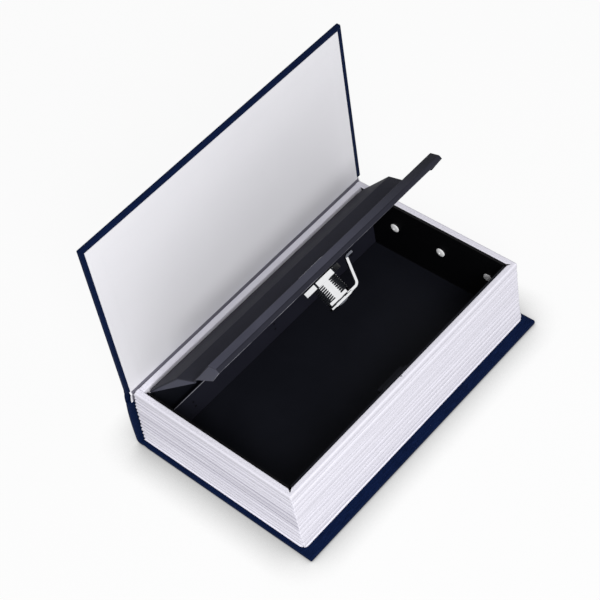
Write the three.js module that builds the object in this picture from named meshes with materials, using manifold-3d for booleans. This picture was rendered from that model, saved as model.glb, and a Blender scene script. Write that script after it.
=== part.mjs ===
// A hollow book that hides a locking steel tray, shown open and lying on its back cover.
// Millimetres. X runs along the book from tail to head, Y from the fore-edge to the spine, and Z up.
import * as THREE from 'three';
import { mergeVertices } from 'three/addons/utils/BufferGeometryUtils.js';
import Module from 'manifold-3d';

const wasm = await Module();
wasm.setup();

// Book case: cloth-covered boards round the page block.
const BOOK_LENGTH = 240;
const BOOK_DEPTH = 162;
const BOARD_THICKNESS = 3.1;
const BOARD_EDGE_RADIUS = 0.9;
const COVER_EDGE_INSET = 0.3;
const COVER_OPEN_DEG = 88;
const COVER_HINGE_OFFSET = 3.2;
const COVER_HINGE_INSET = 1.4;
const COVER_JOINT_GAP = 3.6;
const LINING_THICKNESS = 0.4;
const LINING_MARGIN = 2.8;
const SPINE_THICKNESS = 3;
const SPINE_TOP = 49.5;
const SPINE_LEAN = 2;
const SPINE_CURVE_START = 0.65;
const SPINE_GAP = 2.3;
const CLOTH_THICKNESS = 0.6;
const CLOTH_CORNER_RADIUS = 3;

// Page block: ribbed edge strips with a smooth rim, and a rounded back behind the spine.
const BLOCK_TOP = 62.2;
const BLOCK_END_OVERHANG = 2.5;
const BLOCK_FORE_OVERHANG = 8.35;
const EDGE_WIDTH = 4.7;
const RIM_HEIGHT = 5;
const RIM_RADIUS = 1.2;
const RIM_GROOVE_WIDTH = 0.8;
const RIM_GROOVE_DEPTH = 0.35;
const RIB_COUNT = 10;
const RIB_DEPTH = 0.9;
const RIB_SHOULDER = 0.22;
const RIB_ROOT = 0.75;
const BACK_SETBACK = 12.35;
const BACK_CURVE_START = 0.65;
const BACK_RIM_WIDTH = 4.9;
const CURVE_STEPS = 10;
const ENDPAPER_DROP = 8;

// Steel tray, the rail along its back, and the catch that the lock turns under.
const SHEET = 1.2;
const TRAY_FLOOR = 10;
const TRAY_TOP_DROP = 0.7;
const TRAY_GAP = 0.6;
const BEND_RADIUS = 1.8;
const CORNER_SLIT = 0.4;
const RAIL_HEIGHT = 25;
const RAIL_CHANNEL = 6;
const CATCH_WIDTH = 24;
const CATCH_DEPTH = 6.4;
const CATCH_LEG = 6.4;

// Blind rivets through the head and tail walls of the tray.
const RIVET_SPREAD = 0.328;
const RIVET_OFFSET = 6.7;
const RIVET_HEIGHT = 28.6;
const RIVET_HEAD_RADIUS = 3.6;
const RIVET_HEAD_HEIGHT = 1.2;
const RIVET_DIMPLE_RADIUS = 0.7;
const RIVET_SHANK_RADIUS = 2;
const RIVET_GRIP = 2.2;

// Lid: one folded sheet, with a raised strip at the hinge, a ramp and a sunk plate.
const LID_OPEN_DEG = 47.6;
const LID_END_GAP = 0.8;
const LID_STRIP = 51.5;
const LID_RAMP = 16.5;
const LID_RAMP_DEG = 24.8;
const LID_PLATE = 45.8;
const LID_PLATE_DEG = 8.6;
const LID_FLANGE_OUT = 6.8;
const LID_FLANGE_DROP = 4.3;
const LID_HEM = 3;
const LID_END_DEPTH = 8.9;
const LID_STRIP_INSET = 3;
const LID_FOOT_INSET = 4.8;
const LID_PLATE_INSET = 1.8;
const LID_NOTCH_START = 12;
const LID_NOTCH_END = 33;

// Continuous hinge between the tray's back wall and the lid.
const KNUCKLE_RADIUS = 2.1;
const KNUCKLE_COUNT = 9;
const PIN_RADIUS = 1;
const LEAF_THICKNESS = 1;
const LEAF_WIDTH = 14;
const HINGE_DROP = 3;
const HINGE_GAP = 0.8;

// Cam lock in the lid's plate, measured from the plate's outer face.
const LOCK_X = -5.9;
const LOCK_FROM_RAMP = 30;
const BEZEL_RADIUS = 11.6;
const BEZEL_HEIGHT = 0.7;
const BEZEL_CHAMFER = 0.8;
const BARREL_RADIUS = 9.5;
const BARREL_FLAT = 8;
const BARREL_TURN_DEG = 11;
const BARREL_DEPTH = 27.2;
const PLUG_RADIUS = 6;
const PLUG_RECESS = 0.3;
const KEY_SLOT_WIDTH = 1.6;
const KEY_SLOT_LENGTH = 6.4;
const KEY_SLOT_DEPTH = 4;
const SHANK_SIDE = 6;
const SPACER_RADIUS = 11.6;
const SPACER_DEPTH = 8.9;
const NUT_FLATS = 26.5;
const NUT_DEPTH = 4;
const NUT_TURN_DEG = 15;
const CAM_THICKNESS = 2;
const CAM_WIDTH = 11;
const CAM_HUB_RADIUS = 10.8;
const CAM_ARM = 13.9;
const CAM_RISE = 17.9;
const CAM_SLANT = 7.1;
const CAM_WALL_GAP = 3.1;
const CAM_REST_DEG = 22;
const CAM_WASHER_RADIUS = 5.8;
const CAM_WASHER_HEIGHT = 0.5;
const SCREW_HEAD_RADIUS = 4.8;
const SCREW_HEAD_HEIGHT = 1.6;
const SCREW_HEAD_SIDE = 0.4;
const SCREW_RADIUS = 2;
const SCREW_LENGTH = 9;
const SCREW_SLOT_WIDTH = 0.9;
const SCREW_SLOT_DEPTH = 0.8;
const CATCH_CLEARANCE = 0.9;

// Clearances: flat seats, moving fits, and the room a moving edge keeps. A cutting body runs past
// what it cuts.
const SEAT = 0.05;
const FIT = 0.3;
const SWING = 0.5;
const OVERCUT = 1;

// Places worked out from the sizes above.
const halfLength = BOOK_LENGTH / 2;
const foreEdge = -BOOK_DEPTH / 2;
const spineFace = BOOK_DEPTH / 2;
const blockBottom = BOARD_THICKNESS + SEAT;
const blockEnd = halfLength - BLOCK_END_OVERHANG;
const blockFore = foreEdge + BLOCK_FORE_OVERHANG;
const blockBack = spineFace - SPINE_THICKNESS - SPINE_GAP;
const backRimOuter = spineFace - BACK_SETBACK;
const openingEnd = blockEnd - EDGE_WIDTH;
const openingFore = blockFore + EDGE_WIDTH;
const openingBack = backRimOuter - BACK_RIM_WIDTH;
const trayEnd = openingEnd - TRAY_GAP;
const trayFore = openingFore + TRAY_GAP;
const trayBack = openingBack - TRAY_GAP;
const trayUnder = TRAY_FLOOR - SHEET;
const trayTop = BLOCK_TOP - TRAY_TOP_DROP;
const wallEnd = trayEnd - SHEET;
const wallFore = trayFore + SHEET;
const wallBack = trayBack - SHEET;
const lidAxis = { y: openingBack - KNUCKLE_RADIUS - HINGE_GAP, z: BLOCK_TOP - HINGE_DROP };
const lidTop = KNUCKLE_RADIUS + 2 * SEAT;
const lidHalf = wallEnd - LID_END_GAP;
const coverAxis = {
  y: backRimOuter - COVER_HINGE_INSET,
  z: BLOCK_TOP + FIT - COVER_HINGE_OFFSET,
};
const coverReach = coverAxis.y - foreEdge - COVER_EDGE_INSET;
const boardUnder = COVER_HINGE_OFFSET + LINING_THICKNESS + SEAT;

const rad = THREE.MathUtils.degToRad;
const point = (x, y) => new THREE.Vector2(x, y);

const finish = {
  cloth: { color: 0x0f1f45, roughness: 0.85, metalness: 0 },
  paper: { color: 0xe6e3ee, roughness: 0.7, metalness: 0 },
  card: { color: 0xb9b2a4, roughness: 0.9, metalness: 0 },
  steel: { color: 0x17171b, roughness: 0.45, metalness: 0.4 },
  chrome: { color: 0xdcdfe4, roughness: 0.12, metalness: 1 },
  rivet: { color: 0xd2d4d8, roughness: 0.3, metalness: 1 },
};

function piece(name, geometry, look) {
  const mesh = new THREE.Mesh(geometry, new THREE.MeshStandardMaterial(finish[look]));
  mesh.name = name;
  return mesh;
}

// Booleans.

function solid(geometry) {
  const bare = geometry.clone();
  bare.deleteAttribute('normal');
  bare.deleteAttribute('uv');
  const merged = mergeVertices(bare, 1e-4);
  return new wasm.Manifold(new wasm.Mesh({
    numProp: 3,
    vertProperties: merged.attributes.position.array,
    triVerts: Uint32Array.from(merged.index.array),
  }));
}

function geometryOf(body) {
  const mesh = body.getMesh();
  const geometry = new THREE.BufferGeometry();
  geometry.setAttribute('position', new THREE.BufferAttribute(mesh.vertProperties, 3));
  geometry.setIndex(new THREE.BufferAttribute(mesh.triVerts, 1));
  geometry.computeVertexNormals();
  return geometry;
}

function joined(...geometries) {
  return geometryOf(geometries.map(solid).reduce((sum, next) => sum.add(next)));
}

function cut(geometry, ...tools) {
  return geometryOf(tools.map(solid).reduce((rest, tool) => rest.subtract(tool), solid(geometry)));
}

// Basic forms.

function box(x0, x1, y0, y1, z0, z1) {
  const block = new THREE.BoxGeometry(x1 - x0, y1 - y0, z1 - z0);
  return block.translate((x0 + x1) / 2, (y0 + y1) / 2, (z0 + z1) / 2);
}

const alongX = new THREE.Matrix4().makeBasis(
  new THREE.Vector3(0, 1, 0),
  new THREE.Vector3(0, 0, 1),
  new THREE.Vector3(1, 0, 0),
);
const alongY = new THREE.Matrix4().makeBasis(
  new THREE.Vector3(1, 0, 0),
  new THREE.Vector3(0, 0, 1),
  new THREE.Vector3(0, -1, 0),
);

// A Y-Z outline drawn out along X.
function extrudeX(outline, x0, x1) {
  const geometry = new THREE.ExtrudeGeometry(new THREE.Shape(outline), { depth: x1 - x0, bevelEnabled: false });
  return geometry.applyMatrix4(alongX).translate(x0, 0, 0);
}

// An X-Z outline drawn out along Y.
function extrudeY(outline, y0, y1) {
  const geometry = new THREE.ExtrudeGeometry(new THREE.Shape(outline), { depth: y1 - y0, bevelEnabled: false });
  return geometry.applyMatrix4(alongY).translate(0, y1, 0);
}

// A cylinder that stands on its axis between two heights; six sides and flats across make a hexagon.
function rod(radius, z0, z1, sides = 32) {
  const cylinder = new THREE.CylinderGeometry(radius, radius, z1 - z0, sides);
  return cylinder.rotateX(Math.PI / 2).translate(0, 0, (z0 + z1) / 2);
}

function ring(outer, inner, z0, z1, sides = 32) {
  return cut(rod(outer, z0, z1, sides), rod(inner, z0 - OVERCUT, z1 + OVERCUT));
}

const hexRadius = (flats) => flats / Math.sqrt(3);

// A board with its long edges and corners eased.
function easedBoard(x0, x1, y0, y1, z0, z1, radius) {
  const outline = new THREE.Shape([point(x0, y0), point(x1, y0), point(x1, y1), point(x0, y1)]);
  const geometry = new THREE.ExtrudeGeometry(outline, {
    depth: z1 - z0 - 2 * radius,
    bevelThickness: radius,
    bevelSize: radius,
    bevelOffset: -radius,
    bevelSegments: 3,
  });
  return geometry.translate(0, 0, z0 + radius);
}

// A path with its inner corners turned on a bend radius.
function bent(corners, radius, steps = 3) {
  const path = [corners[0]];
  for (let i = 1; i < corners.length - 1; i += 1) {
    const before = corners[i - 1].clone().sub(corners[i]).normalize();
    const after = corners[i + 1].clone().sub(corners[i]).normalize();
    const half = Math.acos(THREE.MathUtils.clamp(before.dot(after), -1, 1)) / 2;
    const reach = radius / Math.tan(half);
    const start = corners[i].clone().addScaledVector(before, reach);
    const end = corners[i].clone().addScaledVector(after, reach);
    const curve = new THREE.QuadraticBezierCurve(start, corners[i], end);
    path.push(...curve.getPoints(steps));
  }
  path.push(corners.at(-1));
  return path;
}

// The outline of a strip that lies to the left of a path.
function stripOutline(path, thickness) {
  const offset = path.map((at, i) => {
    const back = at.clone().sub(path[Math.max(i - 1, 0)]);
    const ahead = path[Math.min(i + 1, path.length - 1)].clone().sub(at);
    const first = (back.length() ? back : ahead).clone().normalize();
    const second = (ahead.length() ? ahead : back).clone().normalize();
    const middle = point(-first.y - second.y, first.x + second.x).normalize();
    const spread = middle.dot(point(-first.y, first.x));
    return at.clone().addScaledVector(middle, thickness / spread);
  });
  return [...path, ...offset.reverse()];
}

// Book case.

function backBoard() {
  const back = spineFace - CLOTH_CORNER_RADIUS - FIT;
  return easedBoard(-halfLength, halfLength, foreEdge, back, 0, BOARD_THICKNESS, BOARD_EDGE_RADIUS);
}

// The cloth turns a quarter round from under the back board to the foot of the spine.
function backJointCloth() {
  const arc = new THREE.EllipseCurve(
    spineFace - CLOTH_CORNER_RADIUS,
    CLOTH_CORNER_RADIUS,
    CLOTH_CORNER_RADIUS,
    CLOTH_CORNER_RADIUS,
    -Math.PI / 2,
    0,
  );
  return extrudeX(stripOutline(arc.getPoints(6), CLOTH_THICKNESS), -halfLength, halfLength);
}

// The spine stands upright and leans in at its head.
function spineBoard() {
  const foot = CLOTH_CORNER_RADIUS + FIT;
  const outer = new THREE.QuadraticBezierCurve(
    point(spineFace, foot),
    point(spineFace, SPINE_TOP * SPINE_CURVE_START),
    point(spineFace - SPINE_LEAN, SPINE_TOP),
  );
  return extrudeX(stripOutline(outer.getPoints(CURVE_STEPS), SPINE_THICKNESS), -halfLength, halfLength);
}

// The cloth hinge runs from the head of the spine to the outer face of the open cover.
function coverJointCloth() {
  const boardOuter = coverAxis.y + boardUnder + BOARD_THICKNESS;
  const boardFoot = coverAxis.z + COVER_JOINT_GAP;
  const curve = new THREE.QuadraticBezierCurve(
    point(spineFace - SPINE_LEAN, SPINE_TOP + FIT),
    point(spineFace - SPINE_LEAN, boardFoot - CLOTH_CORNER_RADIUS),
    point(boardOuter - CLOTH_THICKNESS / 2, boardFoot - SWING),
  );
  return extrudeX(stripOutline(curve.getPoints(6), CLOTH_THICKNESS), -halfLength, halfLength);
}

// Page block.

// The back of the block is upright at its foot and rounds in to the rim.
function backCurve() {
  return new THREE.QuadraticBezierCurve(
    point(blockBack, blockBottom),
    point(blockBack, BLOCK_TOP * BACK_CURVE_START),
    point(backRimOuter, BLOCK_TOP),
  );
}

// The outer edge of a strip as [depth, height] points: convex ribs, then a smooth rounded rim.
function ribbedOutline() {
  const ribTop = BLOCK_TOP - RIM_HEIGHT;
  const pitch = (ribTop - blockBottom) / RIB_COUNT;
  const points = [point(RIB_DEPTH, blockBottom)];
  for (let rib = 0; rib < RIB_COUNT; rib += 1) {
    const foot = blockBottom + rib * pitch;
    const head = foot + pitch;
    points.push(point(RIB_SHOULDER, foot + RIB_ROOT));
    points.push(point(0, (foot + head) / 2));
    points.push(point(RIB_SHOULDER, head - RIB_ROOT));
    points.push(point(RIB_DEPTH, head));
  }
  points.push(point(0, ribTop + RIB_DEPTH));
  return points;
}

// The whole section of an edge strip, with a shallow groove along the rim's top.
function edgeSection() {
  const rimCorners = bent([
    point(0, BLOCK_TOP - RIM_RADIUS * 2),
    point(0, BLOCK_TOP),
    point(EDGE_WIDTH / 2 - RIM_GROOVE_WIDTH, BLOCK_TOP),
  ], RIM_RADIUS);
  const innerCorner = bent([
    point(EDGE_WIDTH / 2 + RIM_GROOVE_WIDTH / 2, BLOCK_TOP),
    point(EDGE_WIDTH, BLOCK_TOP),
    point(EDGE_WIDTH, BLOCK_TOP - RIM_RADIUS * 2),
  ], RIM_RADIUS / 2);
  return [
    ...ribbedOutline(),
    ...rimCorners,
    point(EDGE_WIDTH / 2 - RIM_GROOVE_WIDTH / 4, BLOCK_TOP - RIM_GROOVE_DEPTH),
    ...innerCorner,
    point(EDGE_WIDTH, blockBottom),
  ];
}

// A strip along one end of the block, mitred at the fore-edge and cut to the curve of the back.
// Its rivet pockets are blind.
function endStrip(side) {
  const section = edgeSection().map((at) => point(side * (blockEnd - at.x), at.y));
  const strip = extrudeY(section, blockFore, spineFace);
  const mitre = new THREE.Shape([
    point(side * (blockEnd + OVERCUT), blockFore - OVERCUT),
    point(side * (openingEnd - OVERCUT), openingFore + OVERCUT),
    point(side * (openingEnd - OVERCUT), blockFore - OVERCUT),
  ]);
  const mitreTool = new THREE.ExtrudeGeometry(mitre, { depth: 2 * BLOCK_TOP, bevelEnabled: false });
  const behind = [
    ...backCurve().getPoints(CURVE_STEPS),
    point(backRimOuter, BLOCK_TOP + OVERCUT),
    point(spineFace + OVERCUT, BLOCK_TOP + OVERCUT),
    point(spineFace + OVERCUT, blockBottom - OVERCUT),
    point(blockBack, blockBottom - OVERCUT),
  ];
  const backTool = extrudeX(behind, -halfLength, halfLength);
  const pocketEnd = wallEnd + SHEET + RIVET_GRIP + FIT;
  const pocket = rod(RIVET_SHANK_RADIUS + FIT, openingEnd - OVERCUT, pocketEnd, 16);
  const pockets = rivetPlaces().map((y) => pocket.clone()
    .rotateY(side * Math.PI / 2)
    .translate(0, y, TRAY_FLOOR + RIVET_HEIGHT));
  return cut(strip, mitreTool, backTool, ...pockets);
}

// The strip along the fore-edge, with both ends sheared back to the mitres.
function foreStrip() {
  const section = edgeSection().map((at) => point(blockFore + at.x, at.y));
  const geometry = extrudeX(section, -blockEnd, blockEnd);
  const place = geometry.attributes.position;
  for (let i = 0; i < place.count; i += 1) {
    const depth = place.getY(i) - blockFore;
    place.setX(i, Math.sign(place.getX(i)) * (blockEnd - FIT - depth));
  }
  return geometry;
}

// The rounded back of the block, between the end strips.
function backBlock() {
  const curve = backCurve().getPoints(CURVE_STEPS);
  const rim = bent([
    curve.at(-2),
    point(backRimOuter, BLOCK_TOP),
    point(openingBack, BLOCK_TOP),
    point(openingBack, blockBottom),
  ], RIM_RADIUS / 2);
  return extrudeX([...curve.slice(0, -2), ...rim], -openingEnd + FIT, openingEnd - FIT);
}

// The endpaper is pasted over the top of the block's back, below the cover's hinge line.
function endpaperStrip() {
  const curve = backCurve().getPoints(4 * CURVE_STEPS);
  const skin = curve.filter((at) => at.y > BLOCK_TOP - ENDPAPER_DROP);
  const seated = skin.map((at) => point(at.x + 2 * SEAT, at.y - FIT));
  return extrudeX(stripOutline(seated.reverse(), LINING_THICKNESS), -blockEnd, blockEnd);
}

function basePad() {
  return box(-trayEnd, trayEnd, trayFore, trayBack, blockBottom, trayUnder - SEAT);
}

// Tray.

// The rivets are spread over the depth of the wall, a little towards the fore-edge.
function rivetPlaces() {
  const centre = (wallFore + wallBack) / 2 - RIVET_OFFSET;
  return [-1, 0, 1].map((step) => centre + step * RIVET_SPREAD * (wallBack - wallFore));
}

// Two folded channels share the floor, with the corners notched and open.
function tray() {
  const backWallTop = lidAxis.z - KNUCKLE_RADIUS - FIT;
  const across = bent([
    point(trayFore, trayTop),
    point(trayFore, trayUnder),
    point(trayBack, trayUnder),
    point(trayBack, backWallTop),
  ], BEND_RADIUS);
  const along = bent([
    point(-trayEnd, trayTop),
    point(-trayEnd, trayUnder),
    point(trayEnd, trayUnder),
    point(trayEnd, trayTop),
  ], BEND_RADIUS);
  const slit = SHEET + CORNER_SLIT;
  const reach = trayEnd + OVERCUT;
  const drill = rod(RIVET_SHANK_RADIUS + FIT, -reach, reach, 16).rotateY(Math.PI / 2);
  const holes = rivetPlaces().map((y) => drill.clone().translate(0, y, TRAY_FLOOR + RIVET_HEIGHT));
  const folded = joined(
    extrudeX(stripOutline(across, SHEET), slit - trayEnd, trayEnd - slit),
    extrudeY(stripOutline(along, SHEET), trayFore + slit, trayBack - slit),
  );
  return cut(folded, ...holes);
}

// A blind rivet: a low dome with the mandrel's dimple, and a shank through the wall.
function rivet(side, y) {
  const crown = RIVET_HEAD_HEIGHT;
  const dome = [0, 1, 2, 3].map((step) => {
    const angle = rad(20 * step);
    const width = RIVET_HEAD_RADIUS - RIVET_DIMPLE_RADIUS;
    return point(RIVET_DIMPLE_RADIUS + width * Math.sin(angle), SEAT + (crown - SEAT) * Math.cos(angle));
  });
  const profile = [
    point(0, -SHEET - RIVET_GRIP),
    point(RIVET_SHANK_RADIUS, -SHEET - RIVET_GRIP),
    point(RIVET_SHANK_RADIUS, SEAT),
    point(RIVET_HEAD_RADIUS, SEAT),
    ...dome.reverse(),
    point(0, crown / 2),
  ];
  const geometry = new THREE.LatheGeometry(profile, 20);
  geometry.rotateZ(side * Math.PI / 2);
  return geometry.translate(side * wallEnd, y, TRAY_FLOOR + RIVET_HEIGHT);
}

// A rail stands on the floor in front of the back wall and leaves a narrow channel behind it.
function rearRail() {
  const back = wallBack - RAIL_CHANNEL;
  const path = bent([
    point(wallBack - BEND_RADIUS, TRAY_FLOOR + SEAT),
    point(back - SHEET, TRAY_FLOOR + SEAT),
    point(back - SHEET, TRAY_FLOOR + RAIL_HEIGHT),
  ], BEND_RADIUS).reverse();
  return extrudeX(stripOutline(path, SHEET), -wallEnd + 2 * FIT, wallEnd - 2 * FIT);
}

// The catch is a small angle on the fore wall; the cam's foot turns in under its lip.
function catchBracket() {
  const lip = catchHeight();
  const face = wallFore + SEAT;
  const path = bent([
    point(face, lip + CATCH_LEG),
    point(face, lip),
    point(face + CATCH_DEPTH, lip),
  ], BEND_RADIUS);
  return extrudeX(stripOutline(path, SHEET), LOCK_X - CATCH_WIDTH / 2, LOCK_X + CATCH_WIDTH / 2);
}

// Hinge. Leaves are drawn about the pin's axis, with the lid's leaf flat and the tray's leaf hanging.

const hingeHalf = lidReach(-LEAF_WIDTH) - SHEET - FIT;
const knucklePitch = (2 * hingeHalf) / KNUCKLE_COUNT;

function leaf(own, plate, tongue) {
  const shapes = [plate];
  for (let i = 0; i < KNUCKLE_COUNT; i += 1) {
    if (i % 2 === own) {
      const start = -hingeHalf + i * knucklePitch + FIT / 2;
      const end = start + knucklePitch - FIT;
      const barrel = rod(KNUCKLE_RADIUS, start, end, 20).rotateY(Math.PI / 2);
      shapes.push(barrel, tongue(start, end));
    }
  }
  const bore = rod(PIN_RADIUS + FIT, -lidHalf, lidHalf, 16).rotateY(Math.PI / 2);
  return cut(joined(...shapes), bore);
}

function trayLeaf() {
  const face = wallBack - SEAT - lidAxis.y;
  const top = -KNUCKLE_RADIUS - FIT;
  const plate = box(-hingeHalf, hingeHalf, face - LEAF_THICKNESS, face, -LEAF_WIDTH, top);
  const tongue = (x0, x1) => box(x0, x1, face - LEAF_THICKNESS, face, top - SEAT, -PIN_RADIUS - FIT);
  return leaf(0, plate, tongue).translate(0, lidAxis.y, lidAxis.z);
}

function lidLeaf() {
  const top = lidTop - SHEET - SEAT;
  const near = -KNUCKLE_RADIUS - FIT;
  const plate = box(-hingeHalf, hingeHalf, -LEAF_WIDTH, near, top - LEAF_THICKNESS, top);
  const tongue = (x0, x1) => box(x0, x1, near - SEAT, -PIN_RADIUS - FIT, top - LEAF_THICKNESS, top);
  return leaf(1, plate, tongue);
}

function hingePin() {
  const pin = rod(PIN_RADIUS, -hingeHalf, hingeHalf, 16).rotateY(Math.PI / 2);
  return pin.translate(0, lidAxis.y, lidAxis.z);
}

// Lid. Outlines are in [Y, Z] about the hinge axis with the lid shut; the front lies at -Y.

function lidCorners() {
  const start = point(-KNUCKLE_RADIUS - SWING, lidTop);
  const strip = point(-LID_STRIP, lidTop);
  const ramp = rad(LID_RAMP_DEG);
  const foot = point(strip.x - LID_RAMP * Math.cos(ramp), lidTop - LID_RAMP * Math.sin(ramp));
  const rise = rad(LID_PLATE_DEG);
  const front = point(foot.x - LID_PLATE * Math.cos(rise), foot.y + LID_PLATE * Math.sin(rise));
  const knee = point(front.x - LID_FLANGE_OUT, front.y - LID_FLANGE_DROP);
  const hem = point(knee.x, knee.y - LID_HEM);
  return { start, strip, foot, front, knee, hem };
}

// The lid's half length at a place across it: the strip and the ramp taper towards the ramp's foot.
function lidReach(across) {
  const { start, strip, foot } = lidCorners();
  const stations = [
    [start.x, 0],
    [strip.x, LID_STRIP_INSET],
    [foot.x, LID_FOOT_INSET],
    [foot.x - 2 * SHEET, LID_PLATE_INSET],
  ];
  let inset = across > start.x ? 0 : LID_PLATE_INSET;
  for (let i = 1; i < stations.length; i += 1) {
    const [near, nearInset] = stations[i - 1];
    const [far, farInset] = stations[i];
    if (across <= near && across > far) {
      inset = nearInset + ((near - across) / (near - far)) * (farInset - nearInset);
    }
  }
  return lidHalf - inset;
}

// Ends of a piece drawn between -1 and 1 along X are moved out to the lid's tapered ends.
function toLidEnds(geometry) {
  const place = geometry.attributes.position;
  for (let i = 0; i < place.count; i += 1) {
    place.setX(i, Math.sign(place.getX(i)) * lidReach(place.getY(i)));
  }
  return geometry;
}

// A wall under one end of the lid, one sheet thick, along the tapered end.
function endWall(outline, side) {
  const wall = extrudeX(outline, 0, SHEET);
  const place = wall.attributes.position;
  for (let i = 0; i < place.count; i += 1) {
    const inward = side > 0 ? SHEET - place.getX(i) : place.getX(i);
    place.setX(i, side * (lidReach(place.getY(i)) - inward));
  }
  return wall;
}

// A point on the plate, by its distance from the ramp's foot and its depth below the outer face.
function onPlate(distance, depth) {
  const { foot } = lidCorners();
  const rise = rad(LID_PLATE_DEG);
  return point(
    foot.x - distance * Math.cos(rise) - depth * Math.sin(rise),
    foot.y + distance * Math.sin(rise) - depth * Math.cos(rise),
  );
}

// The end wall below the strip and ramp, closed by a straight edge from the hinge to the ramp's foot.
function lidWeb(side) {
  const { start, strip, foot } = lidCorners();
  const inset = SHEET / 2;
  return endWall([
    point(start.x, start.y - inset),
    point(strip.x, strip.y - inset),
    point(foot.x, foot.y - inset),
    point(foot.x, foot.y - SHEET * 1.5),
    point(start.x, start.y - SHEET * 1.1),
  ], side);
}

// The end wall at the front of the plate, cut away on a slant towards the ramp.
function lidEnd(side) {
  const { front, knee, hem } = lidCorners();
  const inset = SHEET / 2;
  return endWall([
    onPlate(LID_NOTCH_START, inset),
    point(front.x, front.y - inset),
    point(knee.x + inset, knee.y),
    point(hem.x + inset, hem.y),
    onPlate(LID_NOTCH_END, LID_END_DEPTH),
  ], side);
}

function lidPanel() {
  const { start, strip, foot, front, knee, hem } = lidCorners();
  const path = bent([start, strip, foot, front, knee, hem], SHEET);
  const sheet = toLidEnds(extrudeX(stripOutline(path, SHEET), -1, 1));
  const barrelHole = rod(BARREL_RADIUS + FIT, -SPACER_DEPTH, SPACER_DEPTH)
    .applyMatrix4(lockFrame());
  const folded = joined(
    sheet,
    lidWeb(-1),
    lidWeb(1),
    lidEnd(-1),
    lidEnd(1),
  );
  return cut(folded, barrelHole);
}

// Lock. Pieces are drawn about the barrel's axis, with the plate's outer face at zero height.

function lockFrame() {
  const seat = onPlate(LOCK_FROM_RAMP, 0);
  const turn = new THREE.Matrix4().makeRotationX(rad(-LID_PLATE_DEG));
  return turn.setPosition(LOCK_X, seat.x, seat.y);
}

// The bezel and the flatted barrel are one casting, bored for the plug.
function lockBarrel() {
  const bore = PLUG_RADIUS + FIT;
  const profile = [
    point(bore, -BARREL_DEPTH),
    point(BARREL_RADIUS, -BARREL_DEPTH),
    point(BARREL_RADIUS, SEAT),
    point(BEZEL_RADIUS, SEAT),
    point(BEZEL_RADIUS, BEZEL_HEIGHT / 2),
    point(BEZEL_RADIUS - BEZEL_CHAMFER, BEZEL_HEIGHT),
    point(bore, BEZEL_HEIGHT),
    point(bore, -BARREL_DEPTH),
  ];
  const turned = new THREE.LatheGeometry(profile, 36).rotateX(Math.PI / 2);
  const flat = box(-BEZEL_RADIUS, BEZEL_RADIUS, BARREL_FLAT, BEZEL_RADIUS, -BARREL_DEPTH - OVERCUT, -SHEET);
  flat.rotateZ(-rad(BARREL_TURN_DEG));
  return cut(turned, flat, flat.clone().rotateZ(Math.PI));
}

// The keyed plug ends in a square shank that drives the cam, bored for the screw that holds it.
function keyPlug() {
  const face = BEZEL_HEIGHT - PLUG_RECESS;
  const shankEnd = BARREL_DEPTH + CAM_THICKNESS - SEAT;
  const half = SHANK_SIDE / 2;
  const wide = KEY_SLOT_WIDTH / 2;
  const long = KEY_SLOT_LENGTH / 2;
  const keySlot = box(-wide, wide, -long, long, face - KEY_SLOT_DEPTH, face + OVERCUT);
  const screwHole = rod(SCREW_RADIUS + FIT, -shankEnd - OVERCUT, -shankEnd + SCREW_LENGTH, 20);
  return cut(joined(
    rod(PLUG_RADIUS, -BARREL_DEPTH + SEAT, face, 28),
    box(-half, half, -half, half, -shankEnd, -BARREL_DEPTH + OVERCUT),
  ), keySlot, screwHole);
}

function lockSpacer() {
  return ring(SPACER_RADIUS, BARREL_RADIUS + FIT, -SPACER_DEPTH, -SHEET - SEAT);
}

function lockNut() {
  const under = -SPACER_DEPTH - SEAT;
  const nut = ring(hexRadius(NUT_FLATS), BARREL_RADIUS + FIT, under - NUT_DEPTH, under, 6);
  return nut.rotateZ(rad(NUT_TURN_DEG));
}

// The height of the catch's lip leaves room for the cam's foot when the lid is shut.
function catchHeight() {
  const foot = onPlate(LOCK_FROM_RAMP, camFootTop());
  const tilt = camReach() * Math.sin(rad(LID_PLATE_DEG));
  return lidAxis.z + foot.y + tilt + CATCH_CLEARANCE;
}

const camFootTop = () => BARREL_DEPTH + SEAT - CAM_RISE;

// The cam's foot ends short of the tray's fore wall when it is turned to the front.
function camReach() {
  const centre = lidAxis.y + onPlate(LOCK_FROM_RAMP, camFootTop()).x;
  return (centre - wallFore - CAM_WALL_GAP) / Math.cos(rad(LID_PLATE_DEG));
}

// A bent strip: flat under the barrel, then back up towards the plate, then out to its foot.
function cam() {
  const top = -BARREL_DEPTH - SEAT;
  const path = bent([
    point(0, top),
    point(CAM_ARM, top),
    point(CAM_ARM + CAM_SLANT, top + CAM_RISE),
    point(camReach(), top + CAM_RISE),
  ], CAM_THICKNESS).reverse();
  const strip = extrudeY(stripOutline(path, CAM_THICKNESS), -CAM_WIDTH / 2, CAM_WIDTH / 2);
  const half = SHANK_SIDE / 2 + FIT;
  const under = top - CAM_THICKNESS;
  const hub = rod(CAM_HUB_RADIUS, under, top, 28);
  return cut(joined(strip, hub), box(-half, half, -half, half, under - OVERCUT, top + OVERCUT));
}

function camWasher() {
  const top = -BARREL_DEPTH - CAM_THICKNESS - 2 * SEAT;
  return ring(CAM_WASHER_RADIUS, SCREW_RADIUS + FIT, top - CAM_WASHER_HEIGHT, top, 28);
}

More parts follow.
